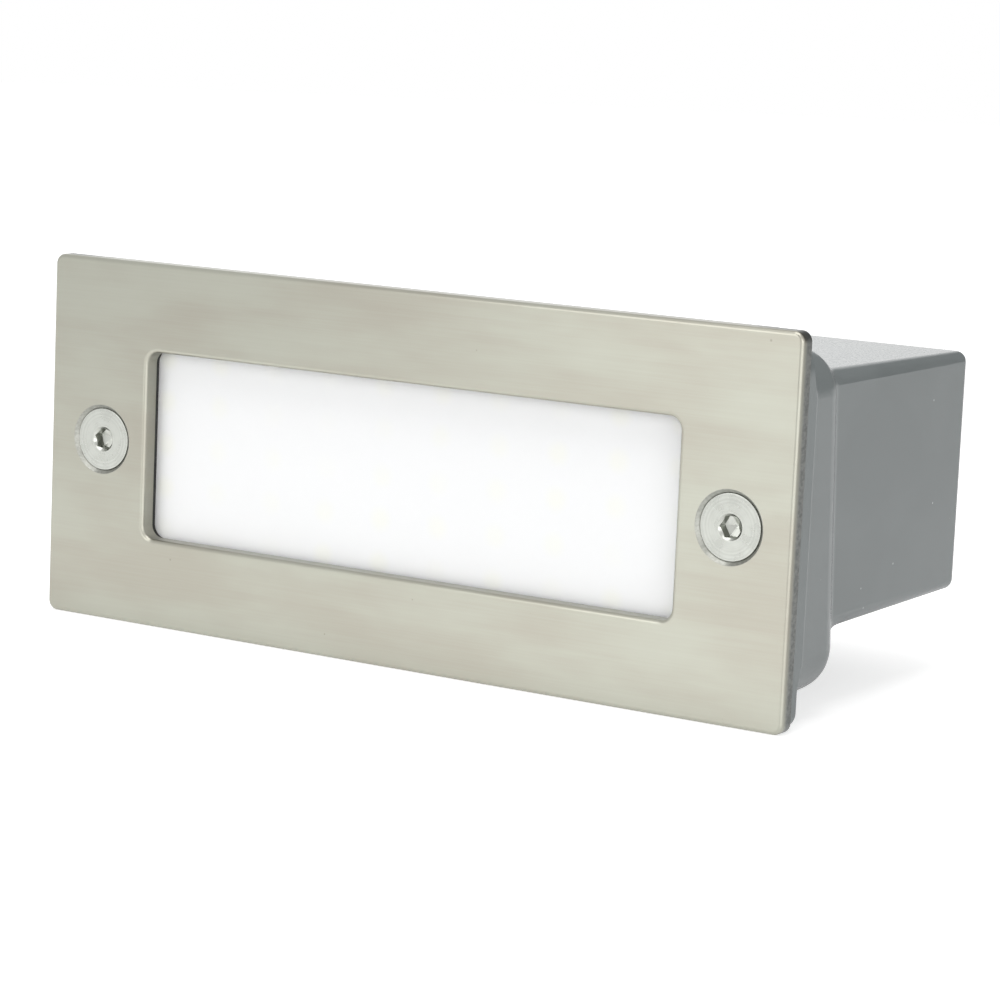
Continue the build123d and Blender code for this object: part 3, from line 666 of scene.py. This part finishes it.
class Slot(Enum):
    """The finishes this light has, one for each material slot of its record."""

    BEZEL = BrushedStainless("bezel_steel", "#B2AF9E", 0.3)
    GASKET = Elastomer("gasket_rubber", "#191918", 0.6)
    OPAL = OpalAcrylic("opal_acrylic", "#FCFDFE", 0.3)
    FOAM = Elastomer("seal_foam", "#303032", 0.85, bloom_colour="#47474A", pore_mm=0.7, depth_mm=0.12)
    RING = Elastomer("ring_rubber", "#101010", 0.4, bloom_colour="#1E1E1E", depth_mm=0.006)
    BRASS = TurnedMetal("insert_brass", "#D9B878", 0.28, dark_colour="#A98545", ring_mm=0.5)
    SCREW = TurnedMetal("screw_steel", "#B6B8B2", 0.28, dark_colour="#ABADA7", depth_mm=0.001)
    HOUSING = MouldedPlastic(
        "housing_plastic", "#7C8282", 0.22, mottle_colour="#787E7E", depth_mm=0.003, speck_share=0.5
    )
    TRAY = MouldedPlastic("tray_plastic", "#F0F0EE", 0.38, mottle_colour="#EBEBE7")
    ZINC = ZincPlate("plated_steel", "#CBCED2", 0.25)
    LIGHT_BOARD = SolderMask("board_white", "#E4E8E5", 0.35, track_colour="#F1F3F1", track_mm=(13.12, 8.68))
    CHIP = MouldedPlastic(
        "chip_phosphor", "#EFD36B", 0.35, mottle_colour="#E6C552", grain_mm=0.25, depth_mm=0.01
    )
    PLUG = MouldedPlastic("plug_nylon", "#EDEAE0", 0.4, mottle_colour="#E5E1D5")
    DRIVER = MouldedPlastic(
        "driver_plastic", "#E2E2DD", 0.42, mottle_colour="#DADAD4", grain_mm=0.6, depth_mm=0.015
    )
    CIRCUIT = SolderMask("circuit_board", "#12502A", 0.3, track_colour="#1C6A3A", track_mm=(5.0, 1.8))
    GREEN_TERMINAL = MouldedPlastic("terminal_green", "#2F7A46", 0.4, mottle_colour="#2A7040")
    COIL = BandedPiece("transformer_tape", "#E3C23C", 0.35, far_colour="#2B2B2C", part_mm=(55.1, 60.1))
    CAPACITOR = BandedPiece(
        "capacitor_sleeve", "#20222A", 0.3, far_colour="#C9CBCD", part_mm=(52.9, 63.2), bare_metal=True
    )
    TERMINAL = MouldedPlastic("terminal_nylon", "#E6E5DF", 0.45, mottle_colour="#DEDCD3")
    BROWN = Insulation("lead_brown", "#5E3820", 0.3)
    BLUE = Insulation("lead_blue", "#2A57A6", 0.3)
    RED = Insulation("lead_red", "#B5201C", 0.3)
    BLACK = Insulation("lead_black", "#161616", 0.3)
    GLAND = MouldedPlastic(
        "gland_nylon", "#262728", 0.42, mottle_colour="#2C2D2E", grain_mm=0.6, depth_mm=0.015
    )


def dress(thing: bpy.types.Object, finish: Finish) -> None:
    """Gives one object one finish in all its material slots."""
    thing.data.materials.clear()
    thing.data.materials.append(finish.material())


def dress_nodes(frame: dict[str, Any], finishes: dict[str, Slot]) -> None:
    """Dresses several CAD nodes and reports each.

    Args:
        finishes: the finish of each node, by the node's name.
    """
    for node, slot in finishes.items():
        dress(frame["nodes"][node], slot.value)
        log.info("dressed %s as %s", node, slot.value.name)


# ---------------------------------------------------------------- sub-assemblies


@dataclass
class FrontPlate:
    """Brushed front plate with its gasket and the opal sheet behind the window."""

    finishes: dict[str, Slot] = field(
        default_factory=lambda: {
            "front_bezel": Slot.BEZEL,
            "bezel_gasket": Slot.GASKET,
            "opal_diffuser": Slot.OPAL,
            "diffuser_seal": Slot.FOAM,
        }
    )

    def build(self, frame: dict[str, Any]) -> None:
        """Dresses the CAD nodes of the front."""
        dress_nodes(frame, self.finishes)


class Side(Enum):
    """Which front screw."""

    LEFT = "left"
    RIGHT = "right"


def about_axis(slot: Slot, side: Side, centre: np.ndarray) -> Finish:
    """Makes a turned finish of which the rings run about one front screw's axis.

    Args:
        slot: the turned finish.
        side: which screw.
        centre: a point on its axis, in millimetres.

    Returns:
        The finish, under a name of its own.
    """
    axis = (float(centre[0]), float(centre[2]))
    return replace(slot.value, name=f"{slot.value.name}_{side.value}", centre_mm=axis)


@dataclass
class FrontScrew:
    """M6 countersunk screw with a hexagon socket, rolled thread and turned head, for its plain solid."""

    side: Side
    socket_turn_deg: float
    across_flats: float = 4.0
    socket_depth: float = 2.4
    mouth_radius: float = 2.5
    head_land: float = 0.2
    edge_round: float = 0.12
    shank_radius: float = 3.0
    socket_cone: float = 0.8
    pitch: float = 1.0
    thread_depth: float = 0.58
    thread_flat: float = 0.14
    thread_runout: float = 1.5
    rows_per_pitch: int = 14
    tip_chamfer: float = 0.8
    steps: int = 96

    def outline(self, top: float, tip: float, head_radius: float) -> tuple[np.ndarray, np.ndarray]:
        """Works out radius and depth for every row and step round the screw.

        The thread is r = crest - depth * clip((t - flat) / (1 - 2 * flat)), where t is the triangle wave
        |2 * fraction(y / pitch + a / turn) - 1|, so the ridge climbs one pitch a turn. The socket wall is
        r = (flats / 2) / cos(angle from the middle of its side), and its mouth is where a 45 degree
        cone meets that wall.

        Args:
            top: depth of the head's face.
            tip: depth of the screw's tip.
            head_radius: radius of the head.

        Returns:
            Radii and depths, each of shape (rows, steps).
        """
        angle = np.arange(self.steps) * 2 * np.pi / self.steps
        cone_top = top + self.head_land
        cone_bottom = cone_top + head_radius - self.shank_radius
        rows_r, rows_y = [], []

        def ring(radius: float | np.ndarray, depth: float | np.ndarray) -> None:
            """Adds one row.

            Args:
                radius: one radius, or one for each step.
                depth: one depth, or one for each step.
            """
            rows_r.append(np.broadcast_to(radius, angle.shape).astype(float))
            rows_y.append(np.broadcast_to(depth, angle.shape).astype(float))

        ring(self.shank_radius - self.tip_chamfer, tip)
        rows = int((tip - cone_bottom) / self.pitch * self.rows_per_pitch)
        depth = np.linspace(tip - 0.05, cone_bottom + 0.1, rows)
        phase = depth[:, None] / self.pitch + angle[None, :] / (2 * np.pi)
        wave = np.abs(2 * (phase % 1.0) - 1)
        slope = (wave - self.thread_flat) / (1 - 2 * self.thread_flat)
        cut = self.thread_depth * np.clip(slope, 0, 1)
        fade = np.clip((depth - cone_bottom - 0.4) / self.thread_runout, 0, 1)[:, None]
        body = self.shank_radius - cut * fade
        lead_in = self.shank_radius - self.tip_chamfer + (tip - depth)[:, None]
        body = np.minimum(body, lead_in)
        rows_r.extend(body)
        rows_y.extend(np.repeat(depth[:, None], self.steps, axis=1))
        ring(self.shank_radius, cone_bottom)
        for share in np.linspace(0.1, 1.0, 10):
            grown = share * (head_radius - self.shank_radius)
            ring(self.shank_radius + grown, cone_bottom - grown)
        for share in np.linspace(0, 1, 5):
            turn = share * np.pi / 2
            inward, back = self.edge_round * (1 - np.cos(turn)), self.edge_round * (1 - np.sin(turn))
            ring(head_radius - inward, top + back)
        for radius in np.linspace(head_radius - 2 * self.edge_round, self.mouth_radius, 8):
            ring(radius, top)
        side = (angle - math.radians(self.socket_turn_deg)) % (np.pi / 3) - np.pi / 6
        wall = (self.across_flats / 2) / np.cos(side)
        for share in np.linspace(0.2, 1.0, 5):
            radius = self.mouth_radius + share * (wall - self.mouth_radius)
            ring(radius, top + self.mouth_radius - radius)
        mouth = top + self.mouth_radius - wall
        for share in np.linspace(0.15, 1.0, 6):
            ring(wall, mouth + share * (top + self.socket_depth - mouth))
        for share in np.linspace(0.2, 0.95, 5):
            ring(wall * (1 - share), top + self.socket_depth + share * self.socket_cone)
        return np.array(rows_r), np.array(rows_y)

    def build(self) -> bpy.types.Object:
        """Makes the screw where its CAD solid is and lets it ride on the same body.

        Returns:
            The screw.
        """
        node = f"bezel_screw_{self.side.value}"
        low, high = (np.array(corner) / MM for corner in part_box(node))
        centre = (low + high) / 2
        radii, depths = self.outline(low[1], high[1], (high[0] - low[0]) / 2)
        angle = np.arange(self.steps) * 2 * np.pi / self.steps
        xs, zs = centre[0] + radii * np.cos(angle), centre[2] + radii * np.sin(angle)
        rows = np.stack([xs, depths, zs], axis=-1)
        screw = grid_mesh(f"turned_screw_{self.side.value}", rows[:, ::-1], True, True, 28.0)
        dress(screw, about_axis(Slot.SCREW, self.side, centre))
        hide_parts(node)
        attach(screw, f"screw_{self.side.value}")
        log.info("made %s with %d faces", screw.name, len(screw.data.polygons))
        return screw


@dataclass
class ScrewSeats:
    """Sealing rings and brass inserts of the two front screws."""

    def build(self, frame: dict[str, Any]) -> None:
        """Dresses rings and inserts; an insert's lathe rings run about its own axis.
        """
        for side in Side:
            insert = f"threaded_insert_{side.value}"
            low, high = (np.array(corner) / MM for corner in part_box(insert))
            dress_nodes(frame, {f"screw_ring_{side.value}": Slot.RING})
            dress(frame["nodes"][insert], about_axis(Slot.BRASS, side, (low + high) / 2))
            log.info("dressed %s", insert)


@dataclass
class HousingShell:
    """Grey moulded housing."""

    finishes: dict[str, Slot] = field(default_factory=lambda: {"housing": Slot.HOUSING})

    def build(self, frame: dict[str, Any]) -> None:
        """Dresses the housing."""
        dress_nodes(frame, self.finishes)


@dataclass
class LightModule:
    """White tray, light board and the chips on it."""

    columns: int = 8
    rows: int = 3
    chip: tuple[float, float] = (3.5, 2.8)
    cup_margin: float = 0.35
    cup_depth: float = 0.25
    steps: int = 32
    finishes: dict[str, Slot] = field(
        default_factory=lambda: {
            "light_tray": Slot.TRAY,
            "tray_screws": Slot.ZINC,
            "led_board": Slot.LIGHT_BOARD,
            "led_board_screws": Slot.ZINC,
            "led_plug": Slot.PLUG,
            "led_lead_positive": Slot.RED,
            "led_lead_negative": Slot.BLACK,
        }
    )

    def outline(self, half: tuple[float, float], corner: float) -> tuple[np.ndarray, np.ndarray]:
        """Works out a rounded rectangle as the superellipse |x/a|^n + |z/b|^n = 1.

        Args:
            half: half its width and half its height, a and b.
            corner: roundness, from 0 for nearly square to 1 for an ellipse.

        Returns:
            X and Z of each step round it.
        """
        angle = (np.arange(self.steps) + 0.5) * 2 * np.pi / self.steps
        power = 2 / (2 + 10 * (1 - corner))
        along = half[0] * np.sign(np.cos(angle)) * np.abs(np.cos(angle)) ** power
        up = half[1] * np.sign(np.sin(angle)) * np.abs(np.sin(angle)) ** power
        return along, up

    def copies(
        self, name: str, levels: list[Triple], centres: np.ndarray, closed: tuple[bool, bool]
    ) -> bpy.types.Object:
        """Stacks outlines into one shape and repeats it at every centre, in one mesh.

        Args:
            name: the object's name.
            levels: inset from the chip's edge, roundness and depth of each outline.
            centres: array of shape (chips, 3), in millimetres.
            closed: whether the first and the last outline are faces.

        Returns:
            The new object.
        """
        rings = []
        for inset, corner, depth in levels:
            along, up = self.outline((self.chip[0] / 2 - inset, self.chip[1] / 2 - inset), corner)
            rings.append(np.stack([along, np.full_like(along, depth), up], axis=-1)[::-1])
        points = centres[:, None, None, :] + np.array(rings)[None]
        index = np.arange(points[..., 0].size).reshape(points.shape[:3])
        turned = np.roll(index, -1, axis=2)
        quads = np.stack([index[:, :-1], turned[:, :-1], turned[:, 1:], index[:, 1:]], axis=-1)
        faces = quads.reshape(-1, 4).tolist()
        if closed[0]:
            faces += index[:, 0, ::-1].tolist()
        if closed[1]:
            faces += index[:, -1].tolist()
        return mesh_object(name, points.reshape(-1, 3), faces, 30.0)

    def chips(self, low: np.ndarray, high: np.ndarray) -> list[bpy.types.Object]:
        """Makes the white packages and their phosphor cups, on the grid that the CAD chips stand on.

        Args:
            low: lowest corner of the CAD chips together, in millimetres.
            high: their highest corner.

        Returns:
            The packages and the phosphor.
        """
        half_x, half_z = self.chip[0] / 2, self.chip[1] / 2
        xs = np.linspace(low[0] + half_x, high[0] - half_x, self.columns)
        zs = np.linspace(low[2] + half_z, high[2] - half_z, self.rows)
        centres = np.array([(x, 0.0, z) for x in xs for z in zs])
        top, foot, cup = low[1], high[1], low[1] + self.cup_depth
        package = [
            (0.0, 0.0, foot),
            (0.0, 0.0, top + 0.12),
            (0.06, 0.1, top + 0.03),
            (0.14, 0.2, top),
            (self.cup_margin, 0.8, top),
            (self.cup_margin + 0.15, 0.9, cup),
        ]
        phosphor = [
            (self.cup_margin + 0.12, 0.9, cup - 0.02),
            (self.cup_margin + 0.3, 0.95, cup - 0.07),
            (self.cup_margin + 0.7, 1.0, cup - 0.1),
        ]
        packages = self.copies("chip_packages", package, centres, (True, True))
        dress(packages, Slot.PLUG.value)
        glow = self.copies("chip_phosphor", phosphor, centres, (False, True))
        dress(glow, Slot.CHIP.value)
        return [packages, glow]

    def build(self, frame: dict[str, Any]) -> None:
        """Dresses the tray and board and puts the detailed chips in place of the plain ones.
        """
        dress_nodes(frame, self.finishes)
        low, high = (np.array(corner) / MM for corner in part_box("led_chips"))
        for thing in self.chips(low, high):
            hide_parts("led_chips")
            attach(thing, "housing_body")
            log.info("made %s", thing.name)


@dataclass
class DriverUnit:
    """Driver case, its board and parts, and the supply terminals beside it."""

    finishes: dict[str, Slot] = field(
        default_factory=lambda: {
            "driver_case": Slot.DRIVER,
            "driver_lid": Slot.DRIVER,
            "driver_board": Slot.CIRCUIT,
            "driver_plugs": Slot.GREEN_TERMINAL,
            "driver_transformer": Slot.COIL,
            "driver_capacitors": Slot.CAPACITOR,
            "driver_screws": Slot.ZINC,
            "terminal_block": Slot.TERMINAL,
            "terminal_cages": Slot.BRASS,
            "terminal_screws": Slot.ZINC,
            "terminal_fixing_screw": Slot.ZINC,
            "supply_lead_live": Slot.BROWN,
            "supply_lead_neutral": Slot.BLUE,
        }
    )

    def build(self, frame: dict[str, Any]) -> None:
        """Dresses the driver's and the terminals' nodes."""
        dress_nodes(frame, self.finishes)


@dataclass
class CableGland:
    """Black nylon cable gland in the rear wall."""

    finishes: dict[str, Slot] = field(
        default_factory=lambda: {
            "gland_washer": Slot.GASKET,
            "gland_body": Slot.GLAND,
            "gland_locknut": Slot.GLAND,
            "gland_seal": Slot.RING,
            "gland_claw": Slot.GLAND,
            "gland_nut": Slot.GLAND,
        }
    )

    def build(self, frame: dict[str, Any]) -> None:
        """Dresses the gland's nodes."""
        dress_nodes(frame, self.finishes)


# ---------------------------------------------------------------- studio


@dataclass(frozen=True)
class Lamp:
    """One soft rectangular lamp: its place and size in metres and its power in watts."""

    name: str
    place: Triple
    size: tuple[float, float]
    power: float


@dataclass
class Studio:
    """Camera at the photograph's angle, pale floor and soft lamps."""

    yaw_deg: float = 32.125
    pitch_deg: float = 8.918
    roll_deg: float = 2.508
    lens_mm: float = 125.009
    distance_mm: float = 649.40
    aim_mm: Triple = (23.286, -6.2, -0.865)
    floor_mm: float = -36.6
    world_light: float = 0.52
    dark_side: Triple = (0.35, 0.8, 0.45)
    dark_share: float = 0.85
    floor_white: float = 0.78
    camera_glow: float = 0.27
    shown_glow: float = 0.35
    front_glow: float = 0.6
    lamp_target: Triple = (0.0, 0.02, 0.0)
    lamps: tuple[Lamp, ...] = (
        Lamp("key_above", (0.0, -0.35, 1.2), (1.0, 0.8), 6.5),
        Lamp("strip_front", (-0.42, -1.12, 0.4), (0.5, 0.8), 2.8),
        Lamp("softbox_right", (0.95, -0.85, 0.2), (1.2, 0.5), 4.4),
        Lamp("rim_behind", (-0.62, 1.0, 0.32), (0.9, 0.45), 0.5),
    )

    def camera(self) -> None:
        """Turns about the aim point by yaw and pitch, then rolls about the view line."""
        yaw, pitch, roll = (math.radians(v) for v in (self.yaw_deg, self.pitch_deg, self.roll_deg))
        level = math.cos(pitch)
        forward = Vector((-math.sin(yaw) * level, math.cos(yaw) * level, -math.sin(pitch)))
        right = Vector((math.cos(yaw), math.sin(yaw), 0.0))
        up = right.cross(forward)
        across = math.cos(roll) * right + math.sin(roll) * up
        upward = -math.sin(roll) * right + math.cos(roll) * up
        data = bpy.data.cameras.new("camera")
        data.lens = self.lens_mm
        data.sensor_width = 36.0
        data.clip_start, data.clip_end = 0.01, 20.0
        camera = bpy.data.objects.new("camera", data)
        turn = Matrix((across, upward, -forward)).transposed().to_4x4()
        aim = Vector(self.aim_mm) * MM
        camera.matrix_world = Matrix.Translation(aim - forward * self.distance_mm * MM) @ turn
        bpy.context.scene.collection.objects.link(camera)
        bpy.context.scene.camera = camera

    def lamp(self, lamp: Lamp) -> None:
        """Adds one lamp, turned to face the object.

        Args:
            lamp: what it is and where.
        """
        data = bpy.data.lights.new(lamp.name, "AREA")
        data.shape = "RECTANGLE"
        data.size, data.size_y = lamp.size
        data.energy = lamp.power
        thing = bpy.data.objects.new(lamp.name, data)
        away = Vector(lamp.place) - Vector(self.lamp_target)
        turn = away.to_track_quat("Z", "Y").to_matrix().to_4x4()
        thing.matrix_world = Matrix.Translation(Vector(lamp.place)) @ turn
        bpy.context.scene.collection.objects.link(thing)

    def shown(self, tree: Tree, path: bpy.types.NodeOutputs) -> Socket:
        """Tells the rays that show the background: 1 for camera, glossy and transmission rays, else 0.

        Args:
            tree: the node tree of the world or the floor.
            path: the outputs of its Light Path node.

        Returns:
            The 1 or 0.
        """
        seen = math_node(tree, "MAXIMUM", path["Is Camera Ray"], path["Is Glossy Ray"])
        return math_node(tree, "MAXIMUM", seen, path["Is Transmission Ray"])

    def span(self, tree: Tree, value: Socket, start: float, end: float, first: float, last: float) -> Socket:
        """Carries a value from one range to another in a straight line, held at both ends.

        Args:
            tree: the node tree.
            value: what is carried over.
            start: start of its range.
            end: end of its range.
            first: result at the start.
            last: result at the end.

        Returns:
            The result.
        """
        inputs = {"Value": value, "From Min": start, "From Max": end, "To Min": first, "To Max": last}
        return add(tree, "MapRange", inputs).outputs["Result"]

    def world(self) -> None:
        """White to the camera, to gloss and to clear paths, and an even soft light for the rest.

        High behind the right end the room is dark, as behind a softbox, and only gloss shows that.
        """
        world = bpy.data.worlds.new("studio")
        world.use_nodes = True
        tree = world.node_tree
        tree.nodes.clear()
        path = add(tree, "LightPath").outputs
        power = self.span(tree, self.shown(tree, path), 0.0, 1.0, self.world_light, 1.0)
        towards = Vector(self.dark_side).normalized()
        pair = {0: add(tree, "TexCoord").outputs["Generated"], 1: towards}
        near = add(tree, "VectorMath", pair, operation="DOT_PRODUCT").outputs["Value"]
        inputs = {"Value": near, "From Min": 0.6, "From Max": 0.9, "To Min": 0.0, "To Max": self.dark_share}
        dim = add(tree, "MapRange", inputs, interpolation_type="SMOOTHSTEP").outputs["Result"]
        dim = math_node(tree, "MULTIPLY", dim, path["Is Glossy Ray"])
        power = math_node(tree, "MULTIPLY", power, math_node(tree, "SUBTRACT", 1.0, dim))
        sky = add(tree, "Background", {"Color": WHITE, "Strength": power})
        add(tree, "OutputWorld", {"Surface": sky.outputs["Background"]})
        bpy.context.scene.world = world

    def floor(self) -> None:
        """A wide pale disc that glows a little to the camera and to gloss, so that it meets the background.

        Gloss finds it brighter just in front of the object, as over a white table under a softbox.
        """
        angle = np.arange(96) * 2 * np.pi / 96
        radius = np.array([2.0, 200.0, 900.0, 2600.0])[:, None]
        height = np.full((len(radius), len(angle)), self.floor_mm)
        rows = np.stack([radius * np.cos(angle), radius * np.sin(angle), height], axis=-1)
        ground = grid_mesh("studio_floor", rows, False, False)
        made = bpy.data.materials.new("studio_floor")
        made.use_nodes = True
        tree = made.node_tree
        tree.nodes.clear()
        path = add(tree, "LightPath").outputs
        power = math_node(tree, "MULTIPLY", path["Is Camera Ray"], self.camera_glow)
        power = math_node(tree, "MULTIPLY_ADD", self.shown(tree, path), self.shown_glow, power)
        depth = object_parts(tree)["Y"]
        ahead = self.span(tree, depth, 0.01, -0.04, 0.0, self.front_glow)
        ahead = math_node(tree, "MULTIPLY", ahead, self.span(tree, depth, -0.1, -0.4, 1.0, 0.0))
        ahead = math_node(tree, "MULTIPLY", ahead, path["Is Glossy Ray"])
        power = math_node(tree, "ADD", ahead, power)
        matt = add(tree, "BsdfDiffuse", {"Color": (self.floor_white,) * 3 + (1.0,)})
        glow = add(tree, "Emission", {"Color": WHITE, "Strength": power})
        both = add(tree, "AddShader", {0: matt.outputs[0], 1: glow.outputs[0]})
        add(tree, "OutputMaterial", {"Surface": both.outputs[0]})
        ground.data.materials.append(made)

    def build(self) -> None:
        """Sets up the whole studio."""
        self.camera()
        self.world()
        self.floor()
        for lamp in self.lamps:
            self.lamp(lamp)
        bpy.context.scene.view_settings.view_transform = "Standard"
        log.info("studio ready")


def main() -> None:
    """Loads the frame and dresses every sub-assembly."""
    logging.basicConfig(level=logging.INFO, format="%(message)s")
    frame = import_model()
    Studio().build()
    FrontPlate().build(frame)
    FrontScrew(Side.LEFT, -14.0).build()
    FrontScrew(Side.RIGHT, 0.0).build()
    ScrewSeats().build(frame)
    HousingShell().build(frame)
    LightModule().build(frame)
    DriverUnit().build(frame)
    CableGland().build(frame)


if __name__ == "__main__":
    main()
